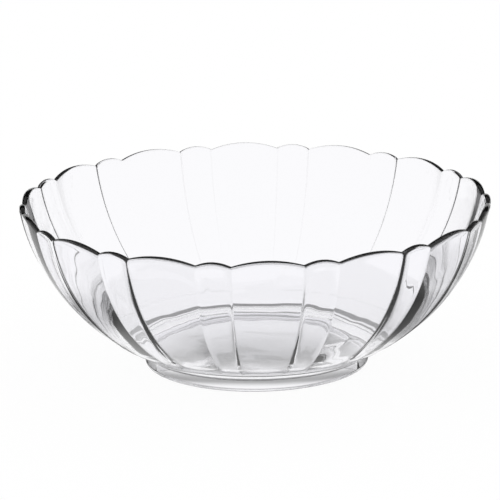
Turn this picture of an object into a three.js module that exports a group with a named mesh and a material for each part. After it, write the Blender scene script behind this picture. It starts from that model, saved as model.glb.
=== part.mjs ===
// A salad bowl of clear pressed glass: one solid piece with a fluted wall, an arched rim and a ring foot.
// Broad petals and slim ribs alternate round the outside of the wall and meet in creases. The inside is plain.
// The top of each one is an arch, so the rim rises and falls. Below, the flutes end on a plain round base.
// Millimetres, +Z up. The origin is the middle of the foot, on the surface that the bowl stands on.

import * as THREE from "three";

// Overall sizes
const RIM_DIAMETER = 270; // across two opposite petals, at the lip
const HEIGHT = 96; // from the table to the top of a petal's arch

// Flutes
const PETAL_COUNT = 14; // and as many ribs between them
const PETAL_SHARE = 2 / 3; // of each repeat round the rim; the rib takes the rest
const PETAL_BULGE = 1.2; // how far the middle of a petal stands out past the creases, at the rim
const RIB_BULGE = 1.2; // the same for a rib
const RIB_SQUARENESS = 8; // power of a rib's cross-section: 2 is an arch, more is a flat band
const PETAL_ARCH = 3.4; // how far the top of a petal rises above the creases
const RIB_ARCH = 2.4; // the same for a rib
const FLUTE_RUNOUT = 2; // distance up the wall in which the flutes rise out of the plain base

// Wall
const LIP_THICKNESS = 2.6; // of the full round of the lip, in a crease
const WALL_THICKNESS = 3.6; // at the bottom of the wall, in a crease; it thins towards the lip
const BASE_DIAMETER = 158; // of the circle outside where the flutes end
const BASE_HEIGHT = 15; // of that circle above the table
const BASE_SLOPE = 33.5; // degrees from level, where the wall leaves that circle
const BASE_REACH = 22.5; // how far the wall's curve is drawn along that slope
const RIM_SLOPE = 79; // degrees from level, where the wall meets the lip
const RIM_REACH = 41; // how far the wall's curve is drawn along that slope

// Floor and foot
const FLOOR_THICKNESS = 5;
const FLOOR_FILLET = 24; // radius between the floor and the wall, inside
const FOOT_DIAMETER = 130; // of the foot ring, where it meets the wall
const FOOT_HEIGHT = 7; // of the foot ring's outer side
const FOOT_RECESS = 6.5; // depth of the hollow that the ring encloses
const FOOT_RING_WIDTH = 10; // at the root of the ring
const FOOT_DRAFT = 5; // degrees that each side of the ring leans, to leave the mould
const FOOT_EDGE = 1.2; // radius of the ring's lower edges
const FOOT_FILLET = 0.6; // radius where the ring meets the wall and the hollow

// Facets
const PETAL_STEPS = 4;
const RIB_STEPS = 6;
const RIB_CROWDING = 0.7; // how far a rib's facets crowd towards its creases: 0 is evenly spaced
const WALL_STEPS = 8;
const LIP_STEPS = 5;
const CORNER_STEPS = 2;
const FILLET_STEPS = 4;

const GLASS_COLOUR = 0xe9edf2;
const FRONT = -Math.PI / 2; // direction of the middle of the first petal, along -Y

const radians = THREE.MathUtils.degToRad;
const repeatAngle = (2 * Math.PI) / PETAL_COUNT;
const petalAngle = repeatAngle * PETAL_SHARE;
const ribAngle = repeatAngle - petalAngle;

const creaseRadius = RIM_DIAMETER / 2 - PETAL_BULGE; // outermost radius of the lip in a crease
const creaseHeight = HEIGHT - PETAL_ARCH; // top of the lip in a crease
const floorHeight = FOOT_RECESS + FLOOR_THICKNESS;

// A unit step along a slope, in the section's plane of radius and height.
function along(slope) {
  return new THREE.Vector2(Math.cos(radians(slope)), Math.sin(radians(slope)));
}

// A unit step square to a slope, out of the wall's inner face.
function inward(slope) {
  return new THREE.Vector2(-Math.sin(radians(slope)), Math.cos(radians(slope)));
}

// The points of an arc that rounds the corner between two straight stretches.
// The radius is cut down where a stretch is too short for it.
function roundedCorner(before, corner, after, radius, steps) {
  const back = before.clone().sub(corner);
  const ahead = after.clone().sub(corner);
  const room = Math.min(back.length(), ahead.length()) * 0.95;
  const half = Math.acos(back.clone().normalize().dot(ahead.clone().normalize())) / 2;
  const reach = Math.min(radius / Math.tan(half), room);
  const middle = back.clone().normalize().add(ahead.clone().normalize()).normalize();
  const centre = middle.multiplyScalar(reach / Math.cos(half)).add(corner);
  const start = back.setLength(reach).add(corner).sub(centre);
  const sweep = Math.sign(start.cross(ahead)) * (Math.PI - 2 * half);
  const points = [];
  for (let i = 0; i <= steps; i++) {
    const spoke = start.clone().rotateAround(new THREE.Vector2(), (sweep * i) / steps);
    points.push(spoke.add(centre));
  }
  return points;
}

// The circle outside where the flutes end.
function baseCircle() {
  return new THREE.Vector2(BASE_DIAMETER / 2, BASE_HEIGHT);
}

// The outside of the wall in a crease, from the bottom of the flutes up to the lip.
function outerWallCurve() {
  const foot = baseCircle().addScaledVector(along(BASE_SLOPE), FLUTE_RUNOUT);
  const top = lipCentre().addScaledVector(inward(RIM_SLOPE), -LIP_THICKNESS / 2);
  return new THREE.CubicBezierCurve(
    foot,
    foot.clone().addScaledVector(along(BASE_SLOPE), BASE_REACH),
    top.clone().addScaledVector(along(RIM_SLOPE), -RIM_REACH),
    top,
  );
}

function lipCentre() {
  return new THREE.Vector2(creaseRadius - LIP_THICKNESS / 2, creaseHeight - LIP_THICKNESS / 2);
}

// The foot ring and the plain band above it, from the axis under the floor out to the base circle.
function footOutline() {
  const lean = Math.tan(radians(FOOT_DRAFT));
  const outer = FOOT_DIAMETER / 2;
  const inner = outer - FOOT_RING_WIDTH;
  const underside = new THREE.Vector2(0, FOOT_RECESS);
  const hollow = new THREE.Vector2(inner, FOOT_RECESS);
  const innerEdge = new THREE.Vector2(inner + FOOT_RECESS * lean, 0);
  const outerEdge = new THREE.Vector2(outer - FOOT_HEIGHT * lean, 0);
  const neck = new THREE.Vector2(outer, FOOT_HEIGHT);
  return [
    underside,
    ...roundedCorner(underside, hollow, innerEdge, FOOT_FILLET, CORNER_STEPS),
    ...roundedCorner(hollow, innerEdge, outerEdge, FOOT_EDGE, CORNER_STEPS),
    ...roundedCorner(innerEdge, outerEdge, neck, FOOT_EDGE, CORNER_STEPS),
    ...roundedCorner(outerEdge, neck, baseCircle(), FOOT_FILLET, CORNER_STEPS),
    baseCircle(),
  ];
}

// The full round of the lip, from the outside of the wall over to the inside.
function lipOutline() {
  const points = [];
  for (let i = 1; i < LIP_STEPS; i++) {
    const slope = RIM_SLOPE - 90 + (180 * i) / LIP_STEPS;
    points.push(lipCentre().addScaledVector(along(slope), LIP_THICKNESS / 2));
  }
  return points;
}

// The inside of the wall: the outside set in by a thickness that grows towards the bottom.
function innerWallOutline(outerWall) {
  const points = [];
  for (let i = WALL_STEPS; i >= 0; i--) {
    const up = i / WALL_STEPS;
    const tangent = outerWall.getTangent(up);
    const square = new THREE.Vector2(-tangent.y, tangent.x);
    const thickness = THREE.MathUtils.lerp(WALL_THICKNESS, LIP_THICKNESS, up);
    points.push(outerWall.getPoint(up).addScaledVector(square, thickness));
  }
  return points;
}

// The floor, from its fillet with the bottom of the wall in to the axis.
function floorOutline(wallBottom) {
  const run = (wallBottom.y - floorHeight) / Math.tan(radians(BASE_SLOPE));
  const corner = new THREE.Vector2(wallBottom.x - run, floorHeight);
  const middle = new THREE.Vector2(0, floorHeight);
  return [...roundedCorner(wallBottom, corner, middle, FLOOR_FILLET, FILLET_STEPS), middle];
}

// The bowl's section in a crease, from the axis under the floor, round the outside, over the lip and
// down the inside to the axis. Each point carries how much of the flutes it takes: all of them on the
// outside of the wall, none inside or on the base, and over the lip a share that falls from one to the other.
function bowlSection() {
  const outerWall = outerWallCurve();
  const innerWall = innerWallOutline(outerWall);
  const lipOutside = outerWall.v3.x;
  const lipInside = innerWall[0].x;
  const lipDepth = (p) => THREE.MathUtils.clamp((p.x - lipInside) / (lipOutside - lipInside), 0, 1);
  const point = (depth) => (p) => ({ radius: p.x, height: p.y, depth: depth(p) });
  return [
    ...footOutline().map(point(() => 0)),
    ...outerWall.getPoints(WALL_STEPS).map(point(() => 1)),
    ...lipOutline().map(point(lipDepth)),
    ...[...innerWall, ...floorOutline(innerWall.at(-1))].map(point(() => 0)),
  ];
}

// Moves a share of the way across a rib towards the nearer crease, where its sides are steep.
function crowd(share) {
  return share - (RIB_CROWDING * Math.sin(2 * Math.PI * share)) / (2 * Math.PI);
}

// Directions round the bowl at which the wall has a facet's edge.
function facetDirections() {
  const directions = [];
  for (let repeat = 0; repeat < PETAL_COUNT; repeat++) {
    const petalStart = FRONT - petalAngle / 2 + repeat * repeatAngle;
    for (let i = 0; i < PETAL_STEPS; i++) {
      directions.push(petalStart + (petalAngle * i) / PETAL_STEPS);
    }
    for (let i = 0; i < RIB_STEPS; i++) {
      directions.push(petalStart + petalAngle + ribAngle * crowd(i / RIB_STEPS));
    }
  }
  return [...directions, directions[0] + 2 * Math.PI];
}

// How far the wall stands out and the rim rises in a direction: nothing in a crease, most mid-flute.
function fluteAt(direction) {
  const across = THREE.MathUtils.euclideanModulo(direction - FRONT + petalAngle / 2, repeatAngle);
  const onPetal = across < petalAngle;
  const share = onPetal ? across / petalAngle : (across - petalAngle) / ribAngle;
  const fromMiddle = Math.abs(2 * share - 1);
  const rise = 1 - fromMiddle ** 2;
  if (onPetal) {
    return { bulge: PETAL_BULGE * rise, arch: PETAL_ARCH * rise };
  }
  return { bulge: RIB_BULGE * (1 - fromMiddle ** RIB_SQUARENESS), arch: RIB_ARCH * rise };
}

// A plain turned blank of the section, with its wall then pressed out into flutes and up into arches.
// The flutes narrow with the wall, and each line up the wall is stretched to reach its arch.
function bowlGeometry() {
  const section = bowlSection();
  const directions = facetDirections();
  const profile = section.map((p) => new THREE.Vector2(p.radius, p.height));
  const geometry = new THREE.LatheGeometry(profile, directions.length - 1);
  const position = geometry.getAttribute("position");
  directions.forEach((direction, i) => {
    const { bulge, arch } = fluteAt(direction);
    section.forEach(({ radius, height, depth }, j) => {
      const out = radius + (bulge * depth * radius) / creaseRadius;
      const stretch = Math.max(0, height - BASE_HEIGHT) / (creaseHeight - BASE_HEIGHT);
      const up = height + arch * stretch;
      position.setXYZ(i * section.length + j, out * Math.cos(direction), out * Math.sin(direction), up);
    });
  });
  geometry.computeVertexNormals();
  return geometry;
}

const clearGlass = new THREE.MeshStandardMaterial({
  color: GLASS_COLOUR,
  roughness: 0.04,
  metalness: 0,
  transparent: true,
  opacity: 0.35,
});

const bowl = new THREE.Mesh(bowlGeometry(), clearGlass);
bowl.name = "bowl";

const saladBowl = new THREE.Group();
saladBowl.name = "salad_bowl";
saladBowl.add(bowl);

export default saladBowl;
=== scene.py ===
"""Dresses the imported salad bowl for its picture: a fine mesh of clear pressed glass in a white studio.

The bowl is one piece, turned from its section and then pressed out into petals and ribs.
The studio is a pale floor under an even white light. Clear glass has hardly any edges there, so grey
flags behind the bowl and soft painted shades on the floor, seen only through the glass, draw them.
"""

import math
from collections import namedtuple
from itertools import repeat

import bmesh
import bpy
from bpy.props import FloatProperty, FloatVectorProperty, IntProperty, PointerProperty
from mathutils import Matrix, Vector
from mathutils.geometry import interpolate_bezier


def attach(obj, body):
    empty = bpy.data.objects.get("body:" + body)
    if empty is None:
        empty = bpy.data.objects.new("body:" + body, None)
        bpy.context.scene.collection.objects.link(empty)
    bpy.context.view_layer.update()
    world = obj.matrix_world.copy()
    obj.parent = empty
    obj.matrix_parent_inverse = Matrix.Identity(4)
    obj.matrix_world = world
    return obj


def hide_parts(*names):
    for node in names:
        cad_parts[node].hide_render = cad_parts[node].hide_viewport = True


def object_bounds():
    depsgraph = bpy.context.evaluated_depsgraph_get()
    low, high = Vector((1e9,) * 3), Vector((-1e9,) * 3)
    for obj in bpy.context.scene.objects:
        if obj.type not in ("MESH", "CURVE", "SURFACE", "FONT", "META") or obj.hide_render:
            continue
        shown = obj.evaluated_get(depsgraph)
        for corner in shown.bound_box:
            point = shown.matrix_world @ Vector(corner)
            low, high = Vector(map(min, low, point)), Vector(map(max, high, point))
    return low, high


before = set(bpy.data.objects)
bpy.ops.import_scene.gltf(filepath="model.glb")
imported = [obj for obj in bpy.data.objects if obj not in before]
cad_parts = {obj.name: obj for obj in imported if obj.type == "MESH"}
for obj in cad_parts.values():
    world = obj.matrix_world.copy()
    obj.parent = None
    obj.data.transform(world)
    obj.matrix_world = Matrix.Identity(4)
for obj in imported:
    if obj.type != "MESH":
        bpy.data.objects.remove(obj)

bl_info = {
    "name": "Fluted Glass Bowl",
    "version": (1, 0, 0),
    "blender": (4, 5, 0),
    "location": "3D View > Sidebar > Glass Bowl",
    "description": "A fluted salad bowl of clear pressed glass, and the studio that it is shown in",
    "category": "Add Mesh",
}

CAD_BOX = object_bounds()
MM = 0.001
UPRIGHT = math.pi / 2
FRONT = -math.pi / 2  # direction of the middle of the first petal, along -Y
WHITE = (1, 1, 1, 1)
FLOOR_SIZE = (8, 8)


def millimetres(*values):
    """Lengths in metres, from millimetres."""
    return tuple(value * MM for value in values)


# The bowl's mesh: its rings and columns
PETAL_COLUMNS = 20
RIB_COLUMNS = 16
CREASE_CROWDING = 0.7  # how far the columns crowd towards the creases
WALL_RINGS = 40
RUNOUT_RINGS = 4
LIP_RINGS = 12
CORNER_RINGS = 6
FILLET_RINGS = 12
FLAT_RINGS = 10
LONG_EDGE = 6.5 * MM  # straight stretches longer than this are cut into flat rings
ARCH_POWER = 2  # of a round arch's cross-section
MERGE_DISTANCE = 0.001 * MM

# Noise of the ripples in the glass
RIPPLE_DETAIL = 1.0
RIPPLE_ROUGHNESS = 0.4

# Flags: the middle of each, its lean, and its width and height
PALE_FLAG = {"centre": (0, 1.2, 0.245), "lean": UPRIGHT, "size": (2.2, 0.39)}
DARK_FLAG = {"centre": (0, 1.2, 0.72), "lean": UPRIGHT, "size": (2.2, 0.56)}
TOP_FLAG = {"centre": (0, 0.7, 1.3), "lean": math.radians(-35), "size": (2.2, 1.22)}

# Painted shades on the floor, seen only through the glass: flat rings round the bowl's axis,
# darker to the left, right or away from the front
SHADE_LIFT = 0.3 * MM  # how far they lie above the floor
SHADE_STEPS = 96

# The painted shadow round the foot: its radii, how dark it is, and where its two rings rise and fall
FOOT_PAINTED_SHADOW = millimetres(64.5, 85)
FOOT_DARKNESS = 0.8
CLOSE_RING = millimetres(64, 65.5, 69.5, 71.5)
WIDE_RING = millimetres(73, 75, 81, 83.5)
WIDE_AWAY = millimetres(-30, 30)

# The painted shadow under the floor, whose hole is too small to see
FLOOR_PAINTED_SHADOW = millimetres(0.01, 55)
FLOOR_DARKNESS = 0.65
FLOOR_AWAY = millimetres(-46, -22, -20, 50)

# Painted shades beside the bowl: shadow under both sides of the wall,
# and a darker patch further out on the right
SIDE_PAINTED_SHADE = millimetres(85, 310)
UNDER_DARKNESS = 0.7
UNDER_LEFT = millimetres(90, 115, 130, 165)
UNDER_RIGHT = millimetres(70, 100, 135, 180)
UNDER_AWAY = millimetres(-85, -45, 45, 85)
OUTER_DARKNESS = 0.5
OUTER_RIGHT = millimetres(130, 170, 210, 270)
OUTER_AWAY = millimetres(-70, -20, 90, 150)


class BowlSizes(bpy.types.PropertyGroup):
    """Sizes of the bowl."""

    rim_diameter: FloatProperty(
        name="Rim diameter", description="Across two opposite petals, at the lip",
        default=CAD_BOX[1].y - CAD_BOX[0].y, unit="LENGTH",
    )
    height: FloatProperty(
        name="Height", description="From the table to the top of a petal's arch",
        default=CAD_BOX[1].z - CAD_BOX[0].z, unit="LENGTH",
    )
    petal_count: IntProperty(
        name="Petals", description="Petals round the wall, with as many ribs between them", default=14,
    )
    petal_share: FloatProperty(
        name="Petal share", description="Share of each repeat that the petal takes", default=2 / 3,
        subtype="FACTOR",
    )
    petal_bulge: FloatProperty(
        name="Petal bulge", description="How far a petal stands out past the creases, at the rim",
        default=1.2 * MM, unit="LENGTH",
    )
    rib_bulge: FloatProperty(
        name="Rib bulge", description="How far a rib stands out past the creases, at the rim",
        default=1.2 * MM, unit="LENGTH",
    )
    rib_squareness: FloatProperty(
        name="Rib squareness", default=8,
        description="Power of a rib's cross-section: 2 is an arch, more is a flat band",
    )
    petal_arch: FloatProperty(
        name="Petal arch", description="How far a petal rises above the creases", default=3.4 * MM,
        unit="LENGTH",
    )
    rib_arch: FloatProperty(
        name="Rib arch", description="How far a rib rises above the creases", default=2.4 * MM,
        unit="LENGTH",
    )
    crease_softness: FloatProperty(
        name="Crease softness", description="How far the bottom of a crease is filled by its rounding",
        default=0.03 * MM, unit="LENGTH",
    )
    flute_runout: FloatProperty(
        name="Flute run-out", description="Distance in which the flutes rise out of the plain base",
        default=2 * MM, unit="LENGTH",
    )
    lip_thickness: FloatProperty(
        name="Lip thickness", description="Thickness of the rounded lip, in a crease", default=2.6 * MM,
        unit="LENGTH",
    )
    wall_thickness: FloatProperty(
        name="Wall thickness", description="Thickness at the bottom of the wall, in a crease",
        default=3.6 * MM, unit="LENGTH",
    )
    base_diameter: FloatProperty(
        name="Base diameter", description="Circle outside where the flutes end", default=158 * MM,
        unit="LENGTH",
    )
    base_height: FloatProperty(
        name="Base height", description="Height of that circle above the table", default=15 * MM,
        unit="LENGTH",
    )
    base_slope: FloatProperty(
        name="Base slope", description="Slope of the wall where it leaves that circle",
        default=math.radians(33.5), subtype="ANGLE",
    )
    base_reach: FloatProperty(
        name="Base reach", description="How far the wall's curve is drawn along that slope",
        default=22.5 * MM, unit="LENGTH",
    )
    rim_slope: FloatProperty(
        name="Rim slope", description="Slope of the wall where it meets the lip",
        default=math.radians(79), subtype="ANGLE",
    )
    rim_reach: FloatProperty(
        name="Rim reach", description="How far the wall's curve is drawn along that slope",
        default=41 * MM, unit="LENGTH",
    )
    floor_thickness: FloatProperty(
        name="Floor thickness", description="Thickness of the floor", default=5 * MM, unit="LENGTH",
    )
    floor_fillet: FloatProperty(
        name="Floor fillet", description="Radius between the floor and the wall, inside",
        default=24 * MM, unit="LENGTH",
    )
    foot_diameter: FloatProperty(
        name="Foot diameter", description="Of the foot ring, where it meets the wall",
        default=130 * MM, unit="LENGTH",
    )
    foot_height: FloatProperty(
        name="Foot height", description="Of the foot ring's outer side", default=7 * MM, unit="LENGTH",
    )
    foot_recess: FloatProperty(
        name="Foot recess", description="Depth of the hollow that the ring encloses", default=6.5 * MM,
        unit="LENGTH",
    )
    foot_ring_width: FloatProperty(
        name="Foot ring width", description="At the root of the ring", default=10 * MM, unit="LENGTH",
    )
    foot_draft: FloatProperty(
        name="Foot draft", description="Lean of each side of the ring, to leave the mould",
        default=math.radians(5), subtype="ANGLE",
    )
    foot_edge: FloatProperty(
        name="Foot edge", description="Radius of the ring's lower edges", default=1.2 * MM, unit="LENGTH",
    )
    foot_fillet: FloatProperty(
        name="Foot fillet", description="Radius where the ring meets the wall and the hollow",
        default=0.6 * MM, unit="LENGTH",
    )

    @property
    def crease_radius(self):
        """Outermost radius of the lip in a crease."""
        return self.rim_diameter / 2 - self.petal_bulge

    @property
    def crease_height(self):
        """Top of the lip in a crease."""
        return self.height - self.petal_arch

    @property
    def floor_height(self):
        """Top of the floor, inside."""
        return self.foot_recess + self.floor_thickness

    @property
    def repeat_angle(self):
        """Turn from one petal to the next."""
        return 2 * math.pi / self.petal_count

    @property
    def first_crease(self):
        """Direction of the crease where the front petal starts."""
        return FRONT - self.repeat_angle * self.petal_share / 2


class GlassFinish(bpy.types.PropertyGroup):
    """Look of the glass."""

    tint: FloatVectorProperty(
        name="Tint", description="Colour that the glass gives to what shows through it",
        default=(0.962, 0.96, 0.98), size=3, subtype="COLOR",
    )
    ior: FloatProperty(name="Refractive index", description="Of soda-lime glass", default=1.52)
    waviness: FloatProperty(
        name="Waviness", description="Depth of the ripples that pressing leaves in the surface",
        default=0.25 * MM, unit="LENGTH",
    )
    ripple_size: FloatProperty(
        name="Ripple size", description="Distance between those ripples", default=25 * MM, unit="LENGTH",
    )


class StudioSettings(bpy.types.PropertyGroup):
    """Floor, flags, painted shades and camera."""

    floor_colour: FloatVectorProperty(
        name="Floor colour", description="Pale floor", default=(0.9, 0.9, 0.9), size=3, subtype="COLOR",
    )
    camera_lift: FloatProperty(
        name="Camera lift", description="How far the floor's shadows are lifted to white for the camera",
        default=0.95, subtype="FACTOR",
    )
    glass_lift: FloatProperty(
        name="Glass lift", description="How far they are lifted to white where the glass shows them",
        default=0.85, subtype="FACTOR",
    )
    pale_grey: FloatProperty(
        name="Pale grey", description="Of the low flag behind the bowl", default=0.65, subtype="FACTOR",
    )
    dark_grey: FloatProperty(
        name="Dark grey", description="Of the high flag behind the bowl", default=0.03, subtype="FACTOR",
    )
    top_grey: FloatProperty(
        name="Top grey", description="Of the flag over the back of the bowl", default=0.3,
        subtype="FACTOR",
    )
    # grey of the darkest parts of the painted shades on the floor
    painted_shade_grey: FloatProperty(
        name="Shade grey", description="Of the darkest parts of the shades on the floor", default=0.05,
        subtype="FACTOR",
    )
    lens: FloatProperty(
        name="Lens", description="Focal length in millimetres", default=270.8, unit="CAMERA",
    )
    distance: FloatProperty(
        name="Distance", description="From the camera to the middle of the rim", default=2.154,
        unit="LENGTH",
    )
    elevation: FloatProperty(
        name="Elevation", description="Camera's angle above the rim", default=math.radians(14.84),
        subtype="ANGLE",
    )
    azimuth: FloatProperty(
        name="Azimuth", description="Camera's turn round the bowl from the front",
        default=math.radians(-2.77), subtype="ANGLE",
    )
    roll: FloatProperty(
        name="Roll", description="Camera's tilt about its own line of sight",
        default=math.radians(-0.62), subtype="ANGLE",
    )
    aim_right: FloatProperty(
        name="Aim right", description="Where the camera looks, to the right of the middle of the rim",
        default=-3.0 * MM, unit="LENGTH",
    )
    aim_up: FloatProperty(
        name="Aim up", description="Where the camera looks, above the middle of the rim",
        default=-26.4 * MM, unit="LENGTH",
    )


def along(slope):
    """A unit step along a slope, in the section's plane."""
    return Vector((math.cos(slope), 0, math.sin(slope)))


def square_to(step):
    """A unit step square to another, out of the wall's inner face."""
    return Vector((-step.z, 0, step.x)).normalized()


def lip_centre(sizes):
    """Middle of the lip's round, in a crease."""
    half = sizes.lip_thickness / 2
    return Vector((sizes.crease_radius - half, 0, sizes.crease_height - half))


def base_circle(sizes):
    """The circle outside where the flutes end."""
    return Vector((sizes.base_diameter / 2, 0, sizes.base_height))


def outer_wall(sizes):
    """The outside of the wall in a crease, from the bottom of the flutes up to the lip."""
    foot = base_circle(sizes) + along(sizes.base_slope) * sizes.flute_runout
    top = lip_centre(sizes) - square_to(along(sizes.rim_slope)) * sizes.lip_thickness / 2
    return interpolate_bezier(
        foot,
        foot + along(sizes.base_slope) * sizes.base_reach,
        top - along(sizes.rim_slope) * sizes.rim_reach,
        top,
        WALL_RINGS + 1,
    )


def inner_wall(sizes, outside):
    """The inside of the wall from the lip down: the outside set in by a thickness that grows downwards."""
    steps = [b - a for a, b in zip(outside, outside[1:])]
    tangents = [along(sizes.base_slope)]
    tangents += [a + b for a, b in zip(steps, steps[1:])]
    tangents += [along(sizes.rim_slope)]
    points = []
    for i, (point, tangent) in enumerate(zip(outside, tangents)):
        up = i / WALL_RINGS
        thickness = sizes.wall_thickness + (sizes.lip_thickness - sizes.wall_thickness) * up
        points.append(point + square_to(tangent) * thickness)
    return points[::-1]


def lip(sizes):
    """The full round of the lip, from the outside of the wall over to the inside."""
    start = sizes.rim_slope - math.pi / 2
    turns = [start + math.pi * i / LIP_RINGS for i in range(1, LIP_RINGS)]
    return [lip_centre(sizes) + along(turn) * sizes.lip_thickness / 2 for turn in turns]


def foot_outline(sizes):
    """Corners of the foot ring and its hollow, from the axis under the floor out to the wall."""
    outer = sizes.foot_diameter / 2
    inner = outer - sizes.foot_ring_width
    lean = math.tan(sizes.foot_draft)
    return [
        Vector((0, 0, sizes.foot_recess)),
        Vector((inner, 0, sizes.foot_recess)),
        Vector((inner + sizes.foot_recess * lean, 0, 0)),
        Vector((outer - sizes.foot_height * lean, 0, 0)),
        Vector((outer, 0, sizes.foot_height)),
    ]


def floor_outline(sizes, wall_end):
    """The top of the floor, from its corner below the end of the wall in to the axis."""
    run = (wall_end.z - sizes.floor_height) / math.tan(sizes.base_slope)
    return [Vector((wall_end.x - run, 0, sizes.floor_height)), Vector((0, 0, sizes.floor_height))]


def smooth_step(share):
    """A soft rise from 0 to 1."""
    return share * share * (3 - 2 * share)


class SectionDrawing:
    """The bowl's section in a crease: a chain of edges whose points know their depth of flutes."""

    def __init__(self, mesh):
        self.mesh = mesh
        self.depth = mesh.verts.layers.float.new("flute_depth")
        self.last = None

    def draw(self, points, depths):
        """Draws on to more points, each with its depth of flutes."""
        drawn = []
        for point, depth in zip(points, depths):
            vertex = self.mesh.verts.new(point)
            vertex[self.depth] = depth
            if self.last:
                self.mesh.edges.new((self.last, vertex))
            self.last = vertex
            drawn.append(vertex)
        return drawn

    def round_off(self, corner, radius, rings):
        """Rounds a corner of the chain."""
        back, ahead = [edge.other_vert(corner).co - corner.co for edge in corner.link_edges]
        reach = radius / math.tan(back.angle(ahead) / 2)
        bmesh.ops.bevel(
            self.mesh, geom=[corner], offset=reach, offset_type="OFFSET", segments=rings, profile=0.5,
            affect="VERTICES", material=-1,
        )


def draw_section(mesh, sizes):
    """Draws the section from the axis under the floor, round the outside, over the lip and back in."""
    section = SectionDrawing(mesh)
    plain = repeat(0.0)
    full = repeat(1.0)
    _, hollow, inner_edge, outer_edge, neck = section.draw(foot_outline(sizes), plain)
    outside = outer_wall(sizes)
    steps = [i / RUNOUT_RINGS for i in range(RUNOUT_RINGS)]
    runout = [base_circle(sizes).lerp(outside[0], step) for step in steps]
    section.draw(runout, map(smooth_step, steps))
    section.draw(outside, full)
    inside = inner_wall(sizes, outside)
    over = lip(sizes)
    across = outside[-1].x - inside[0].x
    section.draw(over, [min(max((point.x - inside[0].x) / across, 0), 1) for point in over])
    section.draw(inside, plain)
    floor_corner, _ = section.draw(floor_outline(sizes, inside[-1]), plain)
    section.round_off(hollow, sizes.foot_fillet, CORNER_RINGS)
    section.round_off(inner_edge, sizes.foot_edge, CORNER_RINGS)
    section.round_off(outer_edge, sizes.foot_edge, CORNER_RINGS)
    section.round_off(neck, sizes.foot_fillet, CORNER_RINGS)
    section.round_off(floor_corner, sizes.floor_fillet, FILLET_RINGS)
    flats = [edge for edge in mesh.edges if edge.calc_length() > LONG_EDGE]
    bmesh.ops.subdivide_edges(mesh, edges=flats, cuts=FLAT_RINGS)


def crowd(share):
    """Moves a share of the way across a flute towards the nearer crease, so that columns crowd there."""
    return share - CREASE_CROWDING * math.sin(2 * math.pi * share) / (2 * math.pi)


def crowded(sizes, turn):
    """Where a column that the spin left at a turn goes, with a crease at the turn 0."""
    flute, across = divmod(turn / sizes.repeat_angle, 1)
    share = sizes.petal_share
    if across < share:
        across = share * crowd(across / share)
    else:
        across = share + (1 - share) * crowd((across - share) / (1 - share))
    return (flute + across) * sizes.repeat_angle


def soft_highest(first, second, softness):
    """The higher of two values, rounded where they cross."""
    return (first + second + math.hypot(first - second, 2 * softness)) / 2


def flute_swell(sizes, turn, petal_most, rib_most, rib_power):
    """How far a flute swells at a turn: nothing in a crease, most in the middle of a petal or rib."""
    petal_half = sizes.petal_share / 2
    rib_half = (1 - sizes.petal_share) / 2
    from_petal = abs((turn / sizes.repeat_angle) % 1 - petal_half)
    from_petal = min(from_petal, 1 - from_petal)
    from_rib = 0.5 - from_petal
    petal = petal_most * (1 - (from_petal / petal_half) ** ARCH_POWER)
    rib = rib_most * (1 - (from_rib / rib_half) ** rib_power)
    return soft_highest(petal, rib, sizes.crease_softness)


def press_flutes(mesh, sizes):
    """Presses the turned blank out into flutes and up into arches."""
    depth = mesh.verts.layers.float["flute_depth"]
    first_crease = sizes.first_crease
    tall = sizes.crease_height - sizes.base_height
    for vertex in mesh.verts:
        radius = math.hypot(vertex.co.x, vertex.co.y)
        turn = (math.atan2(vertex.co.y, vertex.co.x) - first_crease) % (2 * math.pi)
        turn = crowded(sizes, turn)
        bulge = flute_swell(sizes, turn, sizes.petal_bulge, sizes.rib_bulge, sizes.rib_squareness)
        arch = flute_swell(sizes, turn, sizes.petal_arch, sizes.rib_arch, ARCH_POWER)
        out = radius + bulge * vertex[depth] * radius / sizes.crease_radius
        stretch = max(0, vertex.co.z - sizes.base_height) / tall
        direction = turn + first_crease
        vertex.co = (out * math.cos(direction), out * math.sin(direction), vertex.co.z + arch * stretch)


def finished_mesh(name, mesh):
    """Makes a mesh of what the operators have shaped."""
    made = bpy.data.meshes.new(name)
    mesh.to_mesh(made)
    mesh.free()
    return made


def bowl_mesh(sizes):
    """The bowl: its section turned about the axis, then pressed into flutes."""
    mesh = bmesh.new()
    draw_section(mesh, sizes)
    bmesh.ops.rotate(mesh, verts=mesh.verts, matrix=Matrix.Rotation(sizes.first_crease, 3, "Z"))
    bmesh.ops.spin(
        mesh, geom=mesh.verts[:] + mesh.edges[:], cent=(0, 0, 0), axis=(0, 0, 1), angle=2 * math.pi,
        steps=sizes.petal_count * (PETAL_COLUMNS + RIB_COLUMNS), use_merge=True,
    )
    bmesh.ops.remove_doubles(mesh, verts=mesh.verts, dist=MERGE_DISTANCE)
    press_flutes(mesh, sizes)
    bmesh.ops.recalc_face_normals(mesh, faces=mesh.faces)
    for face in mesh.faces:
        face.smooth = True
    return finished_mesh("bowl_glass", mesh)


class Term:
    """A node's output socket that Python's operators work on."""

    def __init__(self, nodes, socket):
        self.nodes = nodes
        self.socket = socket

    def math(self, operation, *others):
        """A Math node on this value and others."""
        sockets = dict(enumerate((self, *others)))
        return self.nodes.add("ShaderNodeMath", {"operation": operation}, sockets)

    def rise(self, start, end):
        """A soft rise from 0 to 1 between two values."""
        return self.nodes.add(
            "ShaderNodeMapRange", {"interpolation_type": "SMOOTHSTEP"},
            {"Value": self, "From Min": start, "From Max": end},
        )

    def hump(self, start, full, end, gone):
        """A soft rise from 0 to 1 between two values, and a soft fall between two more."""
        return self.rise(start, full) * (1 - self.rise(end, gone))

    def __add__(self, other):
        return self.math("ADD", other)

    def __mul__(self, other):
        return self.math("MULTIPLY", other)

    def __sub__(self, other):
        return self.math("SUBTRACT", other)

    def __rsub__(self, other):
        return self.nodes.add("ShaderNodeMath", {"operation": "SUBTRACT"}, {0: other, 1: self})

    __radd__ = __add__
    __rmul__ = __mul__


FloorSpot = namedtuple("FloorSpot", ("right", "away", "radius"))  # a point of a painted shade, from the front


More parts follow.
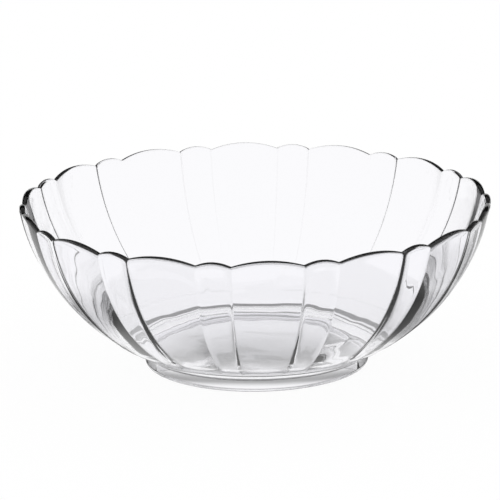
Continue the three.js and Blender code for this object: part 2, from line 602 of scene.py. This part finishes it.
class NodeBoard:
    """A node tree that nodes are added to."""

    def __init__(self, owner):
        owner.use_nodes = True
        self.tree = owner.node_tree
        self.tree.nodes.clear()

    def add(self, kind, settings=None, sockets=None, output=0):
        """Adds a node, sets it up, fills or links its sockets, and gives one of its outputs."""
        node = self.tree.nodes.new(kind)
        for name, value in (settings or {}).items():
            setattr(node, name, value)
        for name, value in (sockets or {}).items():
            if isinstance(value, Term):
                self.tree.links.new(value.socket, node.inputs[name])
            else:
                node.inputs[name].default_value = value
        if not node.outputs:
            return None
        return Term(self, node.outputs[output])


def glass_material(finish):
    """Clear pressed glass with faint ripples."""
    material = bpy.data.materials.new("clear_glass")
    board = NodeBoard(material)
    place = board.add("ShaderNodeTexCoord", output="Object")
    ripples = board.add(
        "ShaderNodeTexNoise", {"noise_dimensions": "3D"},
        {
            "Vector": place,
            "Scale": 1 / finish.ripple_size,
            "Detail": RIPPLE_DETAIL,
            "Roughness": RIPPLE_ROUGHNESS,
        },
    )
    bump = board.add(
        "ShaderNodeBump", None, {"Strength": 1.0, "Distance": finish.waviness, "Height": ripples},
    )
    glass = board.add(
        "ShaderNodeBsdfPrincipled", None,
        {
            "Base Color": (*finish.tint, 1),
            "Roughness": 0.0,
            "IOR": finish.ior,
            "Transmission Weight": 1.0,
            "Normal": bump,
        },
    )
    board.add("ShaderNodeOutputMaterial", None, {"Surface": glass})
    return material


def plain_light(name, brightness):
    """A surface of one even brightness."""
    material = bpy.data.materials.new(name)
    board = NodeBoard(material)
    glow = board.add("ShaderNodeEmission", None, {"Strength": brightness})
    board.add("ShaderNodeOutputMaterial", None, {"Surface": glow})
    return material


def painted_shade_light(name, grey, darkness):
    """A white surface on the floor that is darker in places: painted shade."""
    material = bpy.data.materials.new(name)
    board = NodeBoard(material)
    place = board.add("ShaderNodeTexCoord", output="Object")
    spot = FloorSpot(
        right=board.add("ShaderNodeSeparateXYZ", None, {"Vector": place}, "X"),
        away=board.add("ShaderNodeSeparateXYZ", None, {"Vector": place}, "Y"),
        radius=board.add("ShaderNodeVectorMath", {"operation": "LENGTH"}, {"Vector": place}, "Value"),
    )
    # painted shade: white, darkened where the bowl's shadow is painted
    brightness = 1 - darkness(spot) * (1 - grey)
    glow = board.add("ShaderNodeEmission", None, {"Color": brightness, "Strength": 1.0})
    board.add("ShaderNodeOutputMaterial", None, {"Surface": glow})
    return material


def painted_foot_shadow(spot):
    """Painted shadow round the foot: a ring close to it, and a wider one behind it."""
    close = spot.radius.hump(*CLOSE_RING)
    wide = spot.radius.hump(*WIDE_RING) * spot.away.rise(*WIDE_AWAY)
    return (close + wide) * FOOT_DARKNESS


def painted_floor_shadow(spot):
    """Painted shadow under the floor: it grows towards the front and fades again close to the foot."""
    return spot.away.hump(*FLOOR_AWAY) * FLOOR_DARKNESS


def painted_side_shade(spot):
    """Painted shadows under both sides of the wall, and a fainter painted shade further out on the right.
    """
    sides = (spot.right * -1).hump(*UNDER_LEFT) + spot.right.hump(*UNDER_RIGHT)
    under = sides * spot.away.hump(*UNDER_AWAY) * UNDER_DARKNESS
    outer = spot.right.hump(*OUTER_RIGHT) * spot.away.hump(*OUTER_AWAY) * OUTER_DARKNESS
    return under.math("MAXIMUM", outer)


def floor_material(studio):
    """A pale floor, white in its lit parts, whose shadows are fainter to the camera and through glass."""
    material = bpy.data.materials.new("studio_floor")
    board = NodeBoard(material)
    matt = board.add("ShaderNodeBsdfDiffuse", None, {"Color": (*studio.floor_colour, 1)})
    rest = [1 - part for part in studio.floor_colour]
    glow = board.add("ShaderNodeEmission", None, {"Color": (*rest, 1), "Strength": 1.0})
    lit = board.add("ShaderNodeAddShader", None, {0: matt, 1: glow})
    white = board.add("ShaderNodeEmission", None, {"Color": WHITE, "Strength": 1.0})
    seen = board.add("ShaderNodeLightPath", output="Is Camera Ray")
    mirrored = board.add("ShaderNodeLightPath", output="Is Glossy Ray")
    through = board.add("ShaderNodeLightPath", output="Is Transmission Ray")
    lift = seen * studio.camera_lift + mirrored.math("MAXIMUM", through) * studio.glass_lift
    floor = board.add("ShaderNodeMixShader", None, {0: lift, 1: lit, 2: white})
    board.add("ShaderNodeOutputMaterial", None, {"Surface": floor})
    return material


def link_mesh(name, mesh, material):
    """Puts a mesh in the scene as an object at the origin."""
    mesh.materials.append(material)
    made = bpy.data.objects.new(name, mesh)
    bpy.context.scene.collection.objects.link(made)
    return made


def panel_mesh(name, centre, lean, size):
    """A flat panel that leans about X."""
    mesh = bmesh.new()
    place = Matrix.Translation(centre) @ Matrix.Rotation(lean, 4, "X") @ Matrix.Diagonal((*size, 1, 1))
    bmesh.ops.create_grid(mesh, x_segments=1, y_segments=1, size=0.5, matrix=place)
    return finished_mesh(name, mesh)


def ring_mesh(name, inner, outer):
    """A flat ring on the floor round the bowl's axis."""
    mesh = bmesh.new()
    ends = [mesh.verts.new((radius, 0, SHADE_LIFT)) for radius in (inner, outer)]
    edge = mesh.edges.new(ends)
    bmesh.ops.spin(
        mesh, geom=[*ends, edge], cent=(0, 0, 0), axis=(0, 0, 1), angle=2 * math.pi, steps=SHADE_STEPS,
        use_merge=True,
    )
    return finished_mesh(name, mesh)


def lay_floor(studio):
    """The floor that the bowl stands on."""
    ground = panel_mesh("studio_floor", (0, 0, 0), 0, FLOOR_SIZE)
    link_mesh("studio_floor", ground, floor_material(studio))


def put_up(name, mesh, material, turn):
    """Puts up a flag or painted shade that only the glass shows, turned about the bowl's axis."""
    made = link_mesh(name, mesh, material)
    made.visible_camera = False
    made.visible_diffuse = False
    made.visible_shadow = False
    made.rotation_euler.z = turn


def put_up_flags(studio):
    """The flags behind and over the bowl and the painted shades on the floor, turned to the picture's
    view.
    """
    flags = {
        "pale_flag": (PALE_FLAG, studio.pale_grey),
        "dark_flag": (DARK_FLAG, studio.dark_grey),
        "top_flag": (TOP_FLAG, studio.top_grey),
    }
    for name, (place, grey) in flags.items():
        put_up(name, panel_mesh(name, **place), plain_light(name, grey), studio.azimuth)
    # painted shadows of the bowl on the floor, seen only through the glass
    shades = {
        "foot_painted_shadow": (FOOT_PAINTED_SHADOW, painted_foot_shadow),
        "floor_painted_shadow": (FLOOR_PAINTED_SHADOW, painted_floor_shadow),
        "side_painted_shade": (SIDE_PAINTED_SHADE, painted_side_shade),
    }
    for name, (radii, darkness) in shades.items():
        material = painted_shade_light(name, studio.painted_shade_grey, darkness)
        put_up(name, ring_mesh(name, *radii), material, studio.azimuth)


def light_world(scene):
    """An even white light from all round."""
    scene.world = bpy.data.worlds.new("white_studio")
    board = NodeBoard(scene.world)
    light = board.add("ShaderNodeBackground", None, {"Color": WHITE, "Strength": 1.0})
    board.add("ShaderNodeOutputWorld", None, {"Surface": light})


def place_camera(studio, sizes):
    """The camera at the photograph's viewing angle."""
    data = bpy.data.cameras.new("studio_camera")
    data.lens = studio.lens
    camera = bpy.data.objects.new("studio_camera", data)
    bpy.context.scene.collection.objects.link(camera)
    rim_middle = Vector((0, 0, sizes.crease_height))
    level = Vector((math.sin(studio.azimuth), -math.cos(studio.azimuth), 0))
    back = level * math.cos(studio.elevation) + Vector((0, 0, math.sin(studio.elevation)))
    turn = (-back).to_track_quat("-Z", "Y") @ Matrix.Rotation(studio.roll, 3, "Z").to_quaternion()
    right = turn @ Vector((1, 0, 0))
    up = turn @ Vector((0, 1, 0))
    camera.location = rim_middle + back * studio.distance
    look = rim_middle + right * studio.aim_right + up * studio.aim_up - camera.location
    camera.rotation_mode = "QUATERNION"
    camera.rotation_quaternion = (-back).rotation_difference(look) @ turn
    bpy.context.scene.camera = camera


class BOWL_OT_press(bpy.types.Operator):
    """Makes the bowl as one piece of fluted clear glass."""

    bl_idname = "glass_bowl.press"
    bl_label = "Press Bowl"

    def execute(self, context):
        sizes = context.scene.bowl_sizes
        material = glass_material(context.scene.glass_finish)
        bowl = link_mesh("glass_bowl", bowl_mesh(sizes), material)
        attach(bowl, "root")
        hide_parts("bowl")
        return {"FINISHED"}


class BOWL_OT_set_stage(bpy.types.Operator):
    """Sets up the floor, the light, the flags, the painted shades and the camera."""

    bl_idname = "glass_bowl.set_stage"
    bl_label = "Set Stage"

    def execute(self, context):
        scene = context.scene
        studio = scene.studio_settings
        scene.view_settings.view_transform = "Standard"
        place_camera(studio, scene.bowl_sizes)
        lay_floor(studio)
        put_up_flags(studio)
        light_world(scene)
        return {"FINISHED"}


class BOWL_PT_sidebar(bpy.types.Panel):
    """Lists the settings and the operators."""

    bl_label = "Glass Bowl"
    bl_space_type = "VIEW_3D"
    bl_region_type = "UI"
    bl_category = "Glass Bowl"

    def draw(self, context):
        for group in GROUPS:
            settings = getattr(context.scene, group)
            box = self.layout.box()
            for name in settings.__annotations__:
                box.prop(settings, name)
        for operator in (BOWL_OT_press, BOWL_OT_set_stage):
            self.layout.operator(operator.bl_idname)


GROUPS = {"bowl_sizes": BowlSizes, "glass_finish": GlassFinish, "studio_settings": StudioSettings}
CLASSES = (*GROUPS.values(), BOWL_OT_press, BOWL_OT_set_stage, BOWL_PT_sidebar)


def register():
    """Adds the classes and the settings to Blender."""
    for each in CLASSES:
        bpy.utils.register_class(each)
    for name, group in GROUPS.items():
        setattr(bpy.types.Scene, name, PointerProperty(type=group))


def unregister():
    """Takes them out again."""
    for name in GROUPS:
        delattr(bpy.types.Scene, name)
    for each in reversed(CLASSES):
        bpy.utils.unregister_class(each)


def main():
    """Makes the bowl and its stage."""
    register()
    bpy.ops.glass_bowl.press()
    bpy.ops.glass_bowl.set_stage()


if __name__ == "__main__":
    main()
